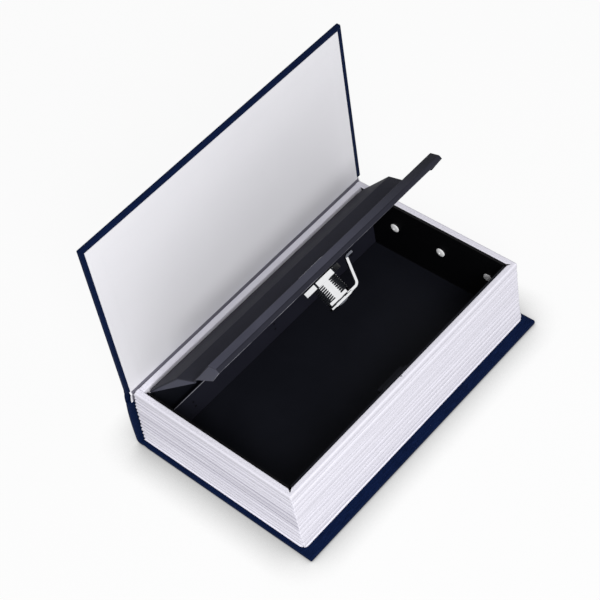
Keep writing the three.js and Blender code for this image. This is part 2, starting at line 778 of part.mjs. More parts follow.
// A slotted screw with a low domed head, up through the washer into the shank.
function camScrew() {
  const seat = -BARREL_DEPTH - CAM_THICKNESS - CAM_WASHER_HEIGHT - 3 * SEAT;
  const dome = [0, 1, 2, 3, 4].map((step) => {
    const angle = rad(22.5 * step);
    const rise = SCREW_HEAD_HEIGHT - SCREW_HEAD_SIDE;
    return point(SCREW_HEAD_RADIUS * Math.sin(angle), seat - SCREW_HEAD_SIDE - rise * Math.cos(angle));
  });
  const profile = [
    ...dome,
    point(SCREW_HEAD_RADIUS, seat),
    point(SCREW_RADIUS, seat),
    point(SCREW_RADIUS, seat + SCREW_LENGTH),
    point(0, seat + SCREW_LENGTH),
  ];
  const turned = new THREE.LatheGeometry(profile, 28).rotateX(Math.PI / 2);
  const reach = SCREW_HEAD_RADIUS + OVERCUT;
  const wide = SCREW_SLOT_WIDTH / 2;
  const low = seat - SCREW_HEAD_HEIGHT;
  return cut(turned, box(-reach, reach, -wide, wide, low - OVERCUT, low + SCREW_SLOT_DEPTH));
}

// Front cover, drawn shut about its hinge line.

function frontBoard() {
  return easedBoard(
    -halfLength,
    halfLength,
    -coverReach,
    -COVER_JOINT_GAP,
    boardUnder,
    boardUnder + BOARD_THICKNESS,
    BOARD_EDGE_RADIUS,
  );
}

function frontLining() {
  const end = halfLength - LINING_MARGIN;
  const reach = coverReach - LINING_MARGIN;
  const face = COVER_HINGE_OFFSET;
  return box(-end, end, -reach, -COVER_JOINT_GAP, face, face + LINING_THICKNESS);
}

// Assembly.

function hingedGroup(axis, openDegrees) {
  const group = new THREE.Group();
  group.position.set(0, axis.y, axis.z);
  group.rotation.x = -rad(openDegrees);
  return group;
}

const book = new THREE.Group();
book.add(
  piece('back_board', backBoard(), 'cloth'),
  piece('back_joint_cloth', backJointCloth(), 'cloth'),
  piece('spine_board', spineBoard(), 'cloth'),
  piece('cover_joint_cloth', coverJointCloth(), 'cloth'),
  piece('endpaper_strip', endpaperStrip(), 'paper'),
  piece('page_edge_tail', endStrip(-1), 'paper'),
  piece('page_edge_head', endStrip(1), 'paper'),
  piece('page_edge_fore', foreStrip(), 'paper'),
  piece('page_block_back', backBlock(), 'paper'),
  piece('base_pad', basePad(), 'card'),
  piece('steel_tray', tray(), 'steel'),
  piece('rear_rail', rearRail(), 'steel'),
  piece('catch_bracket', catchBracket(), 'steel'),
  piece('tray_hinge_leaf', trayLeaf(), 'steel'),
  piece('hinge_pin', hingePin(), 'steel'),
);
for (const [end, side] of [['tail', -1], ['head', 1]]) {
  rivetPlaces().forEach((y, i) => {
    book.add(piece(`rivet_${end}_${i + 1}`, rivet(side, y), 'rivet'));
  });
}

const cover = hingedGroup(coverAxis, COVER_OPEN_DEG);
cover.add(
  piece('front_board', frontBoard(), 'cloth'),
  piece('front_lining', frontLining(), 'paper'),
);
book.add(cover);

const lid = hingedGroup(lidAxis, LID_OPEN_DEG);
lid.add(
  piece('lid_panel', lidPanel(), 'steel'),
  piece('lid_hinge_leaf', lidLeaf(), 'steel'),
);
book.add(lid);

const lock = new THREE.Group();
lock.applyMatrix4(lockFrame());
lock.add(
  piece('lock_barrel', lockBarrel(), 'chrome'),
  piece('lock_spacer', lockSpacer(), 'chrome'),
  piece('lock_nut', lockNut(), 'chrome'),
);
lid.add(lock);

const turning = new THREE.Group();
turning.rotation.z = -rad(CAM_REST_DEG);
turning.add(
  piece('key_plug', keyPlug(), 'chrome'),
  piece('cam', cam(), 'chrome'),
  piece('cam_washer', camWasher(), 'chrome'),
  piece('cam_screw', camScrew(), 'chrome'),
);
lock.add(turning);

export default book;
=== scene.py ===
import math
import random

import bmesh
import bpy
from mathutils import Matrix, Vector


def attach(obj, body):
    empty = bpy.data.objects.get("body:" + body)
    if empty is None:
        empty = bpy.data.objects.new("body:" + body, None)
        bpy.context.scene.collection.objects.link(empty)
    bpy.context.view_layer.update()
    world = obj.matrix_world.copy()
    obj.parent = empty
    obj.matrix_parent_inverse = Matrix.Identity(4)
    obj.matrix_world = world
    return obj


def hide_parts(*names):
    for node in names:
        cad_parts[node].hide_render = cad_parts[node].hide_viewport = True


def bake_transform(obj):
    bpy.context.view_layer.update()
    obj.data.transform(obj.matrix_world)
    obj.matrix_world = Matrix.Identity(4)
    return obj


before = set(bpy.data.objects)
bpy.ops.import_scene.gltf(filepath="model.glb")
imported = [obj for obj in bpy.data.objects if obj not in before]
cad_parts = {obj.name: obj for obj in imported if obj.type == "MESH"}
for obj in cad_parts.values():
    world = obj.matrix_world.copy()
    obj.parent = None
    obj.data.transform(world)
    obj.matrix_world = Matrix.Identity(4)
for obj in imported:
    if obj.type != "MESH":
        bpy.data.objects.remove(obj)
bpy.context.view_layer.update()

# The view comes first: a long lens 1.2 m away, in front of the tail end and well above the book,
# rolled a little so that the uprights lean as they do in the photograph.
lens = bpy.data.cameras.new("camera")
lens.lens = 100.9
lens.sensor_width = 36
lens.clip_end = 20
camera = bpy.data.objects.new("camera", lens)
camera.location = (-0.46764, -0.55794, 0.93170)
camera.rotation_euler = [math.radians(turn) for turn in (40.2952, 8.2431, -48.5532)]
bpy.context.scene.collection.objects.link(camera)
bpy.context.scene.camera = camera
bpy.context.scene.view_settings.view_transform = "Standard"


# The table is a white sweep under an even studio light. What the eye and polished metal see of it
# is plain white, with the book's soft contact shadow painted into that white where the book closes it in.
class Wire:
    """A number that runs from one node to the next, so that a sum on it reads as a sum."""

    def __init__(self, recipe, socket):
        self.recipe = recipe
        self.socket = socket

    def maths(self, operation, *values):
        """One maths node; the signs below and the helpers further on all come here."""
        return self.recipe.node("ShaderNodeMath", {"operation": operation}, values)

    def __add__(self, other):
        return self.maths("ADD", self, other)

    def __sub__(self, other):
        return self.maths("SUBTRACT", self, other)

    def __rsub__(self, other):
        return self.maths("SUBTRACT", other, self)

    def __mul__(self, other):
        return self.maths("MULTIPLY", self, other)

    __radd__ = __add__
    __rmul__ = __mul__


class Recipe:
    """The nodes of one finish, or of the sky."""

    def __init__(self, owner):
        owner.use_nodes = True
        self.owner = owner
        self.tree = owner.node_tree
        self.tree.nodes.clear()

    def node(self, kind, settings=None, inputs=(), output=0):
        """Adds a node: its settings first, then a value or a wire for each input that is named."""
        added = self.tree.nodes.new(kind)
        for name, value in (settings or {}).items():
            setattr(added, name, value)
        for name, value in inputs.items() if isinstance(inputs, dict) else enumerate(inputs):
            if isinstance(value, Wire):
                self.tree.links.new(value.socket, added.inputs[name])
            else:
                added.inputs[name].default_value = value
        return Wire(self, added.outputs[output]) if added.outputs else None

    def coat(self, inputs):
        """Ends a finish with its shader, and gives back the material."""
        shader = self.node("ShaderNodeBsdfPrincipled", None, inputs)
        self.node("ShaderNodeOutputMaterial", None, {"Surface": shader})
        return self.owner


def most(first, second):
    return first.maths("MAXIMUM", first, second)


def seen_rays(recipe):
    """1 for the rays that show the surroundings to the eye, in polish or through glass."""
    kinds = ("Is Camera Ray", "Is Glossy Ray", "Is Transmission Ray")
    eye, mirror, glass = (recipe.node("ShaderNodeLightPath", None, (), kind) for kind in kinds)
    return most(most(eye, mirror), glass)


def mixed(share, first, second):
    """A colour between two others, each of them written out or already a wire."""
    ends = [colour if isinstance(colour, Wire) else (*colour, 1) for colour in (first, second)]
    return share.recipe.node("ShaderNodeMix", {"data_type": "RGBA"}, {0: share, 6: ends[0], 7: ends[1]}, 2)


TABLE_SIZE = 6
UNDER_BOOK = 0.0002
TABLE_GLOW = 0.94
SHADOW_REACH = 0.03
SHADOW_DEPTH = 1.2
SEEN_WHITE = (0.985,) * 3
CONTACT_GREY = (0.02,) * 3
LIT_WHITE = (0.86,) * 3
BOUNCED_GREY = (0.5,) * 3
paper_sweep = Recipe(bpy.data.materials.new("paper_sweep"))
seen = seen_rays(paper_sweep)
openness = paper_sweep.node("ShaderNodeAmbientOcclusion", {"samples": 8}, {"Distance": SHADOW_REACH}, "AO")
shade = openness * SHADOW_DEPTH + (1 - SHADOW_DEPTH)
dull = paper_sweep.node("ShaderNodeBsdfDiffuse", None, {"Color": mixed(seen, BOUNCED_GREY, LIT_WHITE)})
# The glow darkens where the book closes the table in: a painted contact shadow.
glow = paper_sweep.node("ShaderNodeEmission", None, {
    "Color": mixed(shade, CONTACT_GREY, SEEN_WHITE), "Strength": 1.0,
})
both = paper_sweep.node("ShaderNodeMixShader", None, [seen * TABLE_GLOW, dull, glow])
paper_sweep.node("ShaderNodeOutputMaterial", None, {"Surface": both})

table_mesh = bmesh.new()
bmesh.ops.create_grid(table_mesh, x_segments=24, y_segments=24, size=TABLE_SIZE / 2)
table_data = bpy.data.meshes.new("table")
table_mesh.to_mesh(table_data)
table_mesh.free()
table = bpy.data.objects.new("table", table_data)
bpy.context.scene.collection.objects.link(table)
table_data.materials.append(paper_sweep.owner)
table.location.z = -UNDER_BOOK

# The room is a white dome, which gives less light than the eye sees in it. One square panel, behind
# and above the camera, shades the book softly and shows in no polished metal.
SKY_LIGHT = 0.36
PANEL_WIDTH = 0.7
PANEL_WATTS = 41
sky = Recipe(bpy.data.worlds.new("studio"))
bpy.context.scene.world = sky.owner
even = sky.node("ShaderNodeBackground", None, {"Color": (0.98, 0.985, 1, 1), "Strength": SKY_LIGHT})
white = sky.node("ShaderNodeBackground", None, {"Color": (0.99, 0.99, 0.99, 1), "Strength": 1.0})
dome = sky.node("ShaderNodeMixShader", None, [seen_rays(sky), even, white])
sky.node("ShaderNodeOutputWorld", None, {"Surface": dome})


def lamp(name, place, aim, width, watts):
    """A square panel of light at a place, turned to face another."""
    panel = bpy.data.lights.new(name, "AREA")
    panel.shape = "SQUARE"
    panel.size = width
    panel.energy = watts
    holder = bpy.data.objects.new(name, panel)
    holder.location = place
    holder.visible_glossy = False
    holder.rotation_euler = (Vector(aim) - Vector(place)).to_track_quat("-Z", "Y").to_euler()
    bpy.context.scene.collection.objects.link(holder)


lamp("front_panel", (-0.92, -1.28, 1.38), (0, 0, 0.08), PANEL_WIDTH, PANEL_WATTS)


# The case is grey board under navy book cloth. One piece of cloth covers the back board, turns up
# round the foot of the spine, and is glued over the edges of both.
MM = 0.001
BOOK_HALF = 121.2
FORE_EDGE = -82.1
SPINE_FACE = 81
BOARD = 3.1
SPINE_BOARD = 3
SPINE_TOP = 49.5
SPINE_LEAN = 4
SPINE_ROUND_FROM = 32.2
SPINE_FOOT = 3.4
SPINE_INSIDE_FOOT = 6
FOOT_GROOVE = ((69.8, 0), (71.2, 0.35), (72.4, 0.95), (74.2, 0.95), (75.2, 0.35), (76.4, 0))
EDGE_ROUND = 0.8
BOARD_ROUND = 3.2
THREAD_STEP = 0.62
NAVY_DEEP = (0.0006, 0.0028, 0.015)
NAVY_WORN = (0.0056, 0.015, 0.060)


def place_on(recipe):
    """The place of a surface point in the book's own frame."""
    return recipe.node("ShaderNodeTexCoord", None, (), "Object")


def in_millimetres(place):
    """A place as three numbers along x, y and z."""
    cut = place.recipe.node("ShaderNodeSeparateXYZ", None, [place])
    return [Wire(place.recipe, cut.socket.node.outputs[i]) * (1 / MM) for i in range(3)]


def stretched(place, scale):
    return place.recipe.node("ShaderNodeMapping", None, {"Vector": place, "Scale": scale})


def cloud(place, scale, detail=3.0, roughness=0.55):
    return place.recipe.node("ShaderNodeTexNoise", None, {
        "Vector": place, "Scale": scale, "Detail": detail, "Roughness": roughness,
    })


def relief(height, depth, strength):
    """The normal of a surface that a height between 0 and 1 raises by up to a depth in metres."""
    inputs = {"Strength": strength, "Distance": depth, "Height": height}
    return height.recipe.node("ShaderNodeBump", None, inputs)


def wave(value):
    return value.maths("SINE", value)


def book_cloth():
    """A fine plain weave in dark navy with slubs and a slight wear, and almost no shine."""
    cloth = Recipe(bpy.data.materials.new("navy_book_cloth"))
    place = place_on(cloth)
    x, y, z = in_millimetres(place)
    thread = 2 * math.pi / THREAD_STEP
    wander = cloud(place, 260.0)
    warp = wave(x * thread + wander * 3)
    weft = wave((y + z) * thread + wander * 3)
    weave = warp * weft
    slub = cloud(stretched(place, (1, 9, 9)), 150.0)
    patchy = cloud(place, 22.0, 5.0)
    share = weave * 0.25 + slub * 1.1 + patchy * 0.5 - 0.42
    colour = mixed(share, NAVY_DEEP, NAVY_WORN)
    normal = relief(weave * 0.5 + slub, 0.00012, 0.55)
    return cloth.coat({
        "Base Color": colour, "Roughness": 0.72 + patchy * 0.16, "Normal": normal,
        "Specular IOR Level": 0.06, "Sheen Weight": 0.03, "Sheen Roughness": 0.45,
        "Sheen Tint": (0.2, 0.35, 0.9, 1),
    })


def bend(corners, radius, steps):
    """A path whose inner corners are turned on an arc of the given radius."""
    path = [Vector(corners[0])]
    for before, corner, after in zip(corners, corners[1:], corners[2:]):
        corner = Vector(corner)
        inward = (Vector(before) - corner).normalized()
        onward = (Vector(after) - corner).normalized()
        half = inward.angle(onward) / 2
        reach = radius / math.tan(half)
        middle = corner + (inward + onward).normalized() * (radius / math.sin(half))
        first = corner + inward * reach - middle
        swing = (corner + onward * reach - middle).angle_signed(first)
        for step in range(steps + 1):
            angle = swing * step / steps
            turned = Vector((
                first.x * math.cos(angle) - first.y * math.sin(angle),
                first.x * math.sin(angle) + first.y * math.cos(angle),
            ))
            path.append(middle + turned)
    path.append(Vector(corners[-1]))
    return path


def curve(start, pull, end, steps):
    """A path from start to end that a third point draws to itself."""
    start, pull, end = Vector(start), Vector(pull), Vector(end)
    shares = [step / steps for step in range(steps + 1)]
    return [start * (1 - t) ** 2 + pull * 2 * t * (1 - t) + end * t * t for t in shares]


def beside(path, distance):
    """The same path moved to its left by a distance."""
    moved = []
    for i, at in enumerate(path):
        back = (at - path[i - 1]) if i else (path[1] - at)
        ahead = (path[i + 1] - at) if i < len(path) - 1 else back
        first, second = back.normalized(), ahead.normalized()
        middle = Vector((-first.y - second.y, first.x + second.x)).normalized()
        moved.append(at + middle * (distance / middle.dot(Vector((-first.y, first.x)))))
    return moved


def sheet_outline(path, thickness):
    """The outline of a sheet that follows a path and has its thickness to the left of it."""
    return path + beside(path, thickness)[::-1]


def swept(rings):
    """A solid through rings of points, all of one length, with both ends closed."""
    solid = bmesh.new()
    made = [[solid.verts.new(Vector(at) * MM) for at in ring] for ring in rings]
    count = len(rings[0])
    for near, far in zip(made, made[1:]):
        for i in range(count):
            j = (i + 1) % count
            solid.faces.new((near[i], near[j], far[j], far[i]))
    solid.faces.new(made[0][::-1])
    solid.faces.new(made[-1])
    return solid


def drawn_along_x(outline, stations):
    """A solid of one outline, given as [y, z] points, all along the book."""
    return swept([[(x, at[0], at[1]) for at in outline] for x in stations])


def eased(solid, radius, steps, angle, finish=-1):
    """The solid with a bevel on every edge sharper than an angle, in a finish of its own if one is given."""
    bmesh.ops.recalc_face_normals(solid, faces=solid.faces)
    sharp = [
        edge for edge in solid.edges
        if len(edge.link_faces) == 2 and edge.calc_face_angle() > math.radians(angle)
    ]
    bmesh.ops.bevel(
        solid, geom=sharp, offset=radius * MM, segments=steps, profile=0.5,
        affect="EDGES", clamp_overlap=True, material=finish,
    )
    return solid


def piece(name, solid, finish, body=None, stands_for=(), place=None, crease=32):
    """A piece in its place, with its finish, the body it rides on and the solids that it stands for."""
    bmesh.ops.recalc_face_normals(solid, faces=solid.faces)
    data = bpy.data.meshes.new(name)
    solid.to_mesh(data)
    solid.free()
    if place:
        data.transform(place)
    data.shade_smooth()
    data.set_sharp_from_angle(angle=math.radians(crease))
    for coat in finish if isinstance(finish, list) else [finish]:
        data.materials.append(coat)
    made = bpy.data.objects.new(name, data)
    bpy.context.scene.collection.objects.link(made)
    if body:
        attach(made, body)
    if stands_for:
        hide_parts(*stands_for)
    return made


def spaced(low, high, step):
    """Even places from low to high, about a step apart."""
    count = max(1, round((high - low) / step))
    return [low + (high - low) * i / count for i in range(count + 1)]


navy = book_cloth()
spine_inside = SPINE_FACE - SPINE_BOARD
spine_outer = curve(
    (SPINE_FACE, SPINE_FOOT), (SPINE_FACE, SPINE_ROUND_FROM), (SPINE_FACE - SPINE_LEAN, SPINE_TOP), 12)
spine_inner = curve(
    (spine_inside, SPINE_INSIDE_FOOT), (spine_inside, SPINE_ROUND_FROM),
    (spine_inside - SPINE_LEAN, SPINE_TOP), 12)
foot_corner = [(77, 0), (SPINE_FACE, 0), (SPINE_FACE, SPINE_FOOT)]
inside_corner = [(spine_inside, SPINE_INSIDE_FOOT), (spine_inside, BOARD), (70, BOARD)]
case_outline = (
    [Vector((FORE_EDGE, 0))] + [Vector(at) for at in FOOT_GROOVE]
    + bend(foot_corner, BOARD_ROUND, 8)[1:-1] + spine_outer + spine_inner[::-1]
    + bend(inside_corner, EDGE_ROUND, 4)[1:-1] + [Vector((FORE_EDGE, BOARD))]
)
case = eased(drawn_along_x(case_outline, [-BOOK_HALF, BOOK_HALF]), EDGE_ROUND, 4, 60)
piece("case_back_and_spine", case, navy, "book", ["back_board", "back_joint_cloth", "spine_board"])

# The front cover is the same board and cloth, standing open about the joint. Its sizes are those of
# the shut cover, measured from the hinge line, and it is then swung up.
COVER_LINE = (67.25, 59.3)
COVER_OPEN = 88
COVER_REACH = 149
COVER_BOARD = 3.6
COVER_START = 3.6
COVER_UNDER = 3.65


def swung(line, degrees):
    """The place of a shut piece, measured from its hinge line, once it has been swung open."""
    at = Matrix.Translation((0, line[0] * MM, line[1] * MM))
    return at @ Matrix.Rotation(-math.radians(degrees), 4, "X")


cover_swing = swung(COVER_LINE, COVER_OPEN)
cover_outline = [
    (-COVER_REACH, COVER_UNDER), (-COVER_START, COVER_UNDER),
    (-COVER_START, COVER_UNDER + COVER_BOARD), (-COVER_REACH, COVER_UNDER + COVER_BOARD),
]
cover = eased(drawn_along_x(cover_outline, [-BOOK_HALF, BOOK_HALF]), EDGE_ROUND, 4, 60)
piece("front_cover", cover, navy, "cover", ["front_board"], cover_swing)

# White endpaper is pasted inside the cover, short of its edges so that a border of cloth shows, a
# little wider at the head. The turned-in cloth under it raises a faint frame through the paper.
LINING = 0.4
LINING_FACE = 3.2
LINING_BORDER = 2.8
HEAD_BORDER = 4.3
TURN_IN = 15
TURN_SLOPE = 1.5
TURN_RELIEF = 0.07
LINING_STEP = 1.5
PAPER_GREY = (0.77, 0.763, 0.80)
PAPER_WHITE = (0.84, 0.834, 0.868)
CREASE_PAINTED_SHADE = (0.16, 0.155, 0.19)


def rise(value, low, high):
    """0 below low and 1 above high, with soft ends; high may be the lower of the two."""
    settings = {"interpolation_type": "SMOOTHSTEP", "clamp": True}
    limits = {"Value": value, "From Min": low, "From Max": high}
    return value.recipe.node("ShaderNodeMapRange", settings, limits)


def off_middle(value):
    return value.maths("ABSOLUTE", value)


def endpaper_finish(name, painted_shade_within=None):
    """Smooth white paper. Within a distance of the middle it may be darkened as painted shade of a deep
    fold.
    """
    paper = Recipe(bpy.data.materials.new(name))
    place = place_on(paper)
    fibre = cloud(place, 1400.0, 3.0, 0.7)
    shade = cloud(place, 14.0, 4.0)
    colour = mixed(shade * 0.8 + fibre * 0.25, PAPER_GREY, PAPER_WHITE)
    # Near the middle the fold is darkened as painted shade.
    if painted_shade_within:
        x = in_millimetres(place)[0]
        colour = mixed(rise(off_middle(x), painted_shade_within + 0.4, painted_shade_within), colour, CREASE_PAINTED_SHADE)
    return paper.coat({
        "Base Color": colour, "Roughness": 0.62 + fibre * 0.15, "Specular IOR Level": 0.3,
        "Normal": relief(fibre, 0.00004, 0.4),
    })


def lining_height(x, y):
    """How far the paper stands off at a point, where the cloth's turned-in edge lies under it."""
    inset = min(BOOK_HALF - abs(x), COVER_REACH + y)
    step = min(max((TURN_IN - inset) / TURN_SLOPE, 0), 1)
    return TURN_RELIEF * step * step * (3 - 2 * step)


white_paper = endpaper_finish("white_endpaper")
stations = spaced(-BOOK_HALF + LINING_BORDER, BOOK_HALF - HEAD_BORDER, LINING_STEP)
rows = spaced(-COVER_REACH + LINING_BORDER, -COVER_START, LINING_STEP)
lining_rings = []
for x in stations:
    face = [(x, y, LINING_FACE + TURN_RELIEF - lining_height(x, y)) for y in rows]
    back = [(x, y, LINING_FACE + LINING) for y in (rows[-1], rows[0])]
    lining_rings.append(face + back)
piece("cover_lining", swept(lining_rings), white_paper, "cover", ["front_lining"], cover_swing)

# The cloth runs on from the head of the spine to the cover, and is the cover's hinge. Inside it the
# endpaper crosses the same joint and goes down behind the block, white where its ends show. Along
# the block its fold is darkened as painted shade.
JOINT_CLOTH = 0.6
JOINT_STEP = 8
JOINT_FROM_SPINE = (77.02, 49.2)
JOINT_WAIST = (75.1, 59.4)
JOINT_TO_COVER = (74.3, 64.2)
HINGE_PAPER = 0.3
HINGE_PAPER_ENDS = (-119.3, 118.8)
PAPER_FROM_BLOCK = (72.7, 50.5)
PAPER_FOLD = (70.25, 60.4)
PAPER_TO_COVER = (71.0, 63.0)
CREASE_SHADE_HALF = 117.8
joint_path = (
    curve(JOINT_FROM_SPINE, (76.4, 55.6), JOINT_WAIST, 8)
    + curve(JOINT_WAIST, (74.3, 61.8), JOINT_TO_COVER, 8)[1:]
)
joint = drawn_along_x(sheet_outline(joint_path, JOINT_CLOTH), spaced(-BOOK_HALF, BOOK_HALF, JOINT_STEP))
joint = eased(joint, 0.22, 2, 60)
joint_piece = piece("cover_joint", joint, navy, None, ["cover_joint_cloth"])
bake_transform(joint_piece)

hinge_paper_path = (
    curve(PAPER_FROM_BLOCK, (72.0, 56.5), PAPER_FOLD, 8)
    + curve(PAPER_FOLD, (70.7, 61.6), PAPER_TO_COVER, 6)[1:]
)
hinge_paper = sheet_outline(hinge_paper_path, HINGE_PAPER)
hinge_paper = drawn_along_x(hinge_paper, spaced(*HINGE_PAPER_ENDS, JOINT_STEP))
shaded_crease_paper = endpaper_finish("endpaper_painted_crease_shade", CREASE_SHADE_HALF)
hinge_paper_piece = piece("joint_endpaper", hinge_paper, shaded_crease_paper, None, ["endpaper_strip"])
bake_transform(hinge_paper_piece)

# The page block is three moulded strips and a rounded back. The strips are ribbed like the edges of
# leaves, have a smooth rim, meet at mitres and frame the opening for the tray. Their inner faces carry
# painted shade, standing for the narrow gap beside the tray.
BLOCK_TOP = 62.2
BLOCK_FOOT = 3.15
BLOCK_END = 117.5
BLOCK_FORE = -72.65
BLOCK_BACK = 75.7
STRIP = 4.7
RIM = 5
RIM_ROUND = 1.2
RIBS_TOP = BLOCK_TOP - RIM
RIB_COUNT = 12
RIB_UNEVEN = 0.9
CREST_UNEVEN = 0.35
END_RIB_DEPTH = 1.15
FORE_RIB_DEPTH = 0.5
BACK_RIM_OUTER = 68.65
BACK_RIM_ROUND = 0.9
BACK_ROUND_FROM = 40.4
OPENING_BACK = 63.75
LIP = 1.5
LIP_OUT = 0.2
FORE_FLARE = 1.2
END_FLARE = 0.5
FLARE_HEIGHT = 20
MITRE_GAP = 2.6
MITRE_REACH = 1.3
CORNER_ROUND = 1.1
LIP_ROUND = 3.2
CORNER_REACH = 6
CORNER_CUTS = [0.0, 0.12, 0.3, 0.55, 0.9, 1.4, 2.1, 3.2, 4.5]
STRIP_STEP = 7
RIM_LINE = STRIP / 2 + 0.2
SWAY_DEPTH = 0.035
SWAY_LENGTH = 37
SWAY_EASE = 8
EASE_BACK_FROM = 0.9
SERRATION = 0.75
SERRATED_DEPTH = 1.2
PAGE_SHADE = (0.40, 0.385, 0.46)
PAGE_WHITE = (0.775, 0.76, 0.835)
GAP_PAINTED_SHADE = (0.02, 0.02, 0.022)


def least(first, second):
    return first.maths("MINIMUM", first, second)


def page_finish():
    """Off-white plastic with fine lines below the rim, stronger on the end strips as painted shade.
    Painted shade darkens the rib grooves by their depth and by each corner, and covers the inner faces.
    """
    pages = Recipe(bpy.data.materials.new("ribbed_pages"))
    place = place_on(pages)
    x, y, z = in_millimetres(place)
    leaves = cloud(stretched(place, (7, 7, 2400)), 1.0, 2.0)
    sheaf = cloud(stretched(place, (5, 5, 620)), 1.0, 3.0)
    grain = cloud(place, 900.0)
    below_rim = rise(z, RIBS_TOP + 0.4, RIBS_TOP - 0.4)
    lines = ((leaves - 0.5) * 0.8 + (sheaf - 0.5) * 1.5) * below_rim
    from_end = BLOCK_END - off_middle(x)
    from_fore = y - BLOCK_FORE
    sunk = least(from_end, from_fore)
    past_mitre = from_end - from_fore
    on_fore = rise(past_mitre, -0.2, 0.2)
    # Painted shade: rib grooves darken with depth, and they and the fine lines are stronger on the end
    # strips.
    valley_shade = rise(sunk, 0.3, 1.1) * rise(sunk, 2.0, 1.6) * below_rim
    share = 0.9 - lines * (1.1 - on_fore * 0.7) + grain * 0.06 - valley_shade * (1.15 - on_fore * 1.05)
    outside = mixed(share, PAGE_SHADE, PAGE_WHITE)
    # The inner faces and the slits at the mitres are painted shade, for the gap beside the tray.
    inward = least(sunk - STRIP, OPENING_BACK - 0.5 - y)
    slit = rise(off_middle(past_mitre), 2.1, 1.8) * rise(sunk, 1.7, 1.9)
    inner = most(rise(inward, -0.35, -0.1), slit)
    gap_shade = inner * rise(z, BLOCK_TOP - 0.3, BLOCK_TOP - 0.6)
    return pages.coat({
        "Base Color": mixed(gap_shade, outside, GAP_PAINTED_SHADE), "Roughness": 0.55 + grain * 0.15,
        "Specular IOR Level": 0.2, "Normal": relief(lines + grain * 0.08, 0.00025, 0.35),
    })


def rib_profile(seed, rib_depth, flare):
    """The outer face of a strip as [depth, height] from foot to rim, with uneven rounded ribs."""
    chance = random.Random(seed)
    ribs_foot = BLOCK_FOOT + LIP
    edges = [ribs_foot + (RIBS_TOP - ribs_foot) * i / RIB_COUNT for i in range(RIB_COUNT + 1)]
    for i in range(1, RIB_COUNT):
        edges[i] += chance.uniform(-RIB_UNEVEN, RIB_UNEVEN)
    profile = [(0.1, BLOCK_FOOT), (-LIP_OUT, BLOCK_FOOT + 0.35), (-LIP_OUT, ribs_foot - 0.5)]
    for foot, head in zip(edges, edges[1:]):
        crest = chance.uniform(0, CREST_UNEVEN)
        for share in (0, 0.07, 0.2, 0.38, 0.62, 0.8, 0.93):
            swell = math.sin(math.pi * share) ** 0.55 if share else 0
            profile.append((rib_depth - (rib_depth - crest) * swell, foot + (head - foot) * share))
    profile += [(rib_depth * 0.7, RIBS_TOP), (0.25, RIBS_TOP + 0.5)]
    return [
        Vector((depth - flare * max(0, 1 - (height - BLOCK_FOOT) / FLARE_HEIGHT) ** 1.6, height))
        for depth, height in profile
    ]


def strip_section(seed, rib_depth, flare):
    """A whole section of a strip: ribs, rounded rim, a faint line along the rim, and inner face."""
    rim = bend([(0, RIBS_TOP + 1), (0, BLOCK_TOP), (STRIP / 2 - 0.5, BLOCK_TOP)], RIM_ROUND, 6)
    line = [Vector((STRIP / 2 + across, BLOCK_TOP - 0.03)) for across in (-0.1, 0.15)]
    inner = bend([(STRIP / 2 + 0.5, BLOCK_TOP), (STRIP, BLOCK_TOP), (STRIP, BLOCK_FOOT)], 0.6, 4)
    return rib_profile(seed, rib_depth, flare) + rim + line + inner


def corner_inset(along, round_off):
    """How far a rounded corner draws the face in, at a distance along it from the corner."""
    return round_off - math.sqrt(max(round_off ** 2 - max(round_off - along, 0) ** 2, 0))


def at_mitre(depth, height, from_corner):
    """A section point near a mitre: how far along the strip it lies, and how deep.

    The inner half opens a slit at the corner. The outer half follows a rounded corner, and the place
    where that meets the mitre is found by trying until it settles.
    """
    if depth >= STRIP / 2 + 0.4:
        depth -= min(MITRE_GAP, depth - RIM_LINE) * max(0, 1 - from_corner / MITRE_REACH)
        return depth + from_corner, depth
    round_off = LIP_ROUND if height < BLOCK_FOOT + LIP else CORNER_ROUND
    full = depth
    for _ in range(12):
        full = depth + corner_inset(full, round_off)
    along = from_corner
    if from_corner < CORNER_REACH:
        along = full + from_corner * max(1 - full / CORNER_REACH, 0.2)
    depth += corner_inset(along, round_off)
    return max(along, depth, -0.6), depth


def page_strip(section, length_from, length_to, place_point, mitred_far, seed):
    """Sections along a strip, drawn in at its mitred ends, with a slow unevenness in the ribs."""
    chance = random.Random(seed)
    span = length_to - length_from
    far = [span - at for at in CORNER_CUTS[::-1]] if mitred_far else [span]
    sway = [chance.uniform(-1, 1) for _ in range(12)]
    rings = []
    for cut in CORNER_CUTS + spaced(CORNER_REACH, span - CORNER_REACH, STRIP_STEP) + far:
        near_half = cut < span / 2
        from_corner = cut if near_half else span - cut
        ring = []
        for outer, height in section:
            along, depth = from_corner, outer
            if near_half or mitred_far:
                along, depth = at_mitre(outer, height, from_corner)
            if BLOCK_FOOT + LIP < height < RIBS_TOP and outer < 1:
                slow = sum(
                    share * math.sin((k % 6 + 1) * cut / SWAY_LENGTH + height * (0.9 + k * 0.13))
                    for k, share in enumerate(sway))
                depth += SWAY_DEPTH * slow * min(from_corner / SWAY_EASE, 1)
            placed = along if near_half else span - along
            ring.append(place_point(length_from + placed, depth, height))
        rings.append(ring)
    return swept(rings)


def fore_point(along, depth, height):
    """Places a point of the strip along the fore-edge."""
    return along, BLOCK_FORE + depth, height


pages = page_finish()
fore_section = strip_section(3, FORE_RIB_DEPTH, FORE_FLARE)
fore = page_strip(fore_section, -BLOCK_END, BLOCK_END, fore_point, True, 11)
piece("pages_fore_edge", fore, pages, "book", ["page_edge_fore"])
back_line = curve(
    (BLOCK_BACK, BLOCK_FOOT), (BLOCK_BACK, BACK_ROUND_FROM), (BACK_RIM_OUTER, BLOCK_TOP), 24)


def back_at(height):
    """Where the rounded back of the block stands at a height."""
    for low, high in zip(back_line, back_line[1:]):
        if height <= high.y:
            return low.x + (high.x - low.x) * (height - low.y) / (high.y - low.y)
    return back_line[-1].x


